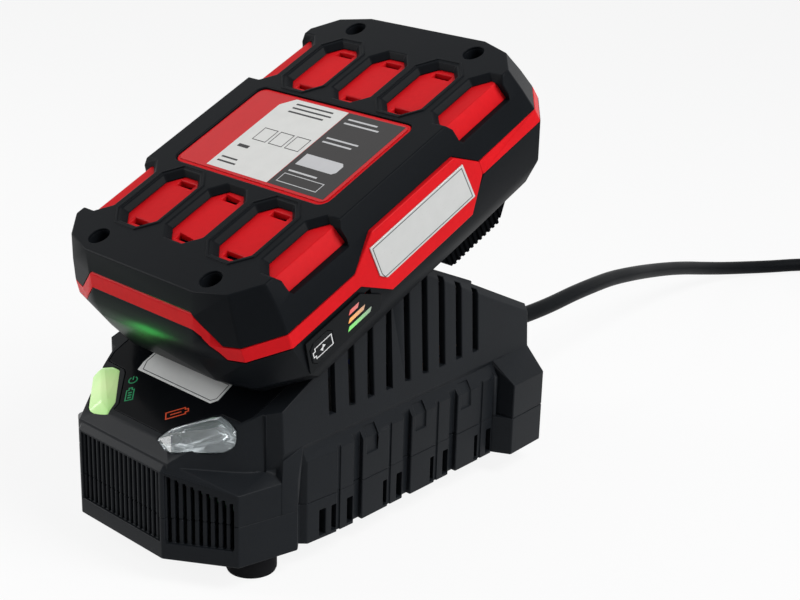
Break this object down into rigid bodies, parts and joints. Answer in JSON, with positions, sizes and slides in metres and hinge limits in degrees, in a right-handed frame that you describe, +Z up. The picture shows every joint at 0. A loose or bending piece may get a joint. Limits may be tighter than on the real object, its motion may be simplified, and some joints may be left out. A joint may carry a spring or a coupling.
{
  "type": "power tool battery charger",
  "caption": "Black and red desk charger for cordless tool batteries, with the slide-on pack docked on its sloping top and a mains cord with a plug.",
  "frame": {"origin": "middle of the charger and pack's footprint, on the surface the feet stand on", "axes": "+Z up; -Y towards the display nose and grille; +Y towards the mains cord; +X towards the side with the charge level display; YZ is the middle plane"},
  "size_m": [0.1429, 0.4072, 0.1309],
  "materials": {
    "housing_black": "fine matt grain",
    "panel_black": "glossy",
    "pack_black": "satin",
    "red": "satin",
    "silver_label": "satin print",
    "white_label": "satin print",
    "green_lens": "lit from inside",
    "clear_lens": "clear polycarbonate",
    "led": "clear resin",
    "board_green": "solder mask",
    "ferrite": "matt",
    "winding": "yellow tape",
    "can": "sleeve",
    "alu": "extruded",
    "epoxy": "moulded",
    "fuse_white": "glazed end caps",
    "carrier_grey": "moulded",
    "brass_contact": "plated",
    "rubber": "matt",
    "steel": "zinc plated",
    "lead_brown": "insulation",
    "cord_black": "matt sheath",
    "nickel": "nickel plated",
    "cell_blue": "shrink sleeve",
    "spring_steel": "wire"
  },
  "bodies": {
    "charger": {"lower_housing": "housing_black", "upper_housing": "housing_black", "display_panel": "panel_black", "display_plate": "silver_label", "lens_left": "green_lens", "lens_right": "clear_lens", "indicator_leds": "led", "indicator_board": "board_green", "circuit_board": "board_green", "transformer_core": "ferrite", "transformer_winding": "winding", "capacitors": "can", "heat_sink": "alu", "power_transistor": "epoxy", "fuse": "fuse_white", "contact_carrier": "carrier_grey", "contact_blades": "brass_contact", "rubber_feet": "rubber", "housing_screws": "steel", "board_screws": "steel", "mains_leads": "lead_brown", "strain_relief": "cord_black", "power_cord": "cord_black", "cord_coil": "cord_black", "cord_tie": "cord_black", "plug_body": "cord_black", "plug_pins": "nickel"},
    "battery_pack": {"pack_top_shell": "pack_black", "pack_core": "red", "pack_bottom_shell": "pack_black", "rating_plate": "white_label", "side_plates": "silver_label", "level_panel": "panel_black", "level_windows": "green_lens", "cell_1": "cell_blue", "cell_2": "cell_blue", "cell_3": "cell_blue", "cell_4": "cell_blue", "cell_5": "cell_blue", "cell_holder_left": "carrier_grey", "cell_holder_right": "carrier_grey", "cell_straps": "nickel", "pack_board": "board_green", "pack_terminals": "brass_contact", "pack_screws": "steel", "slider_springs": "spring_steel"},
    "level_button": {"level_button": "panel_black"},
    "release_slider": {"release_slider": "pack_black"},
    "latch": {"latch": "carrier_grey"}
  },
  "joints": [
    {"name": "pack_slide", "type": "slide", "parent": "charger", "child": "battery_pack", "axis": [0, 0.898, 0.4399], "range_m": [0, 0.06]},
    {"name": "release_slide", "type": "slide", "parent": "battery_pack", "child": "release_slider", "axis": [0, 0.898, 0.4399], "range_m": [0, 0.003], "stiffness_N_per_m": 900, "springref_m": -0.002, "deforming": ["slider_springs"]},
    {"name": "latch_lift", "type": "slide", "parent": "battery_pack", "child": "latch", "axis": [0, -0.4399, 0.898], "range_m": [0, 0.0024]},
    {"name": "level_button_press", "type": "slide", "parent": "battery_pack", "child": "level_button", "axis": [-0.9767, -0.0943, 0.1925], "range_m": [0, 0.0006], "stiffness_N_per_m": 1500, "springref_m": -0.0008}
  ],
  "couplings": [
    {"joint": "latch_lift", "follows": "release_slide", "ratio": 0.8}
  ]
}
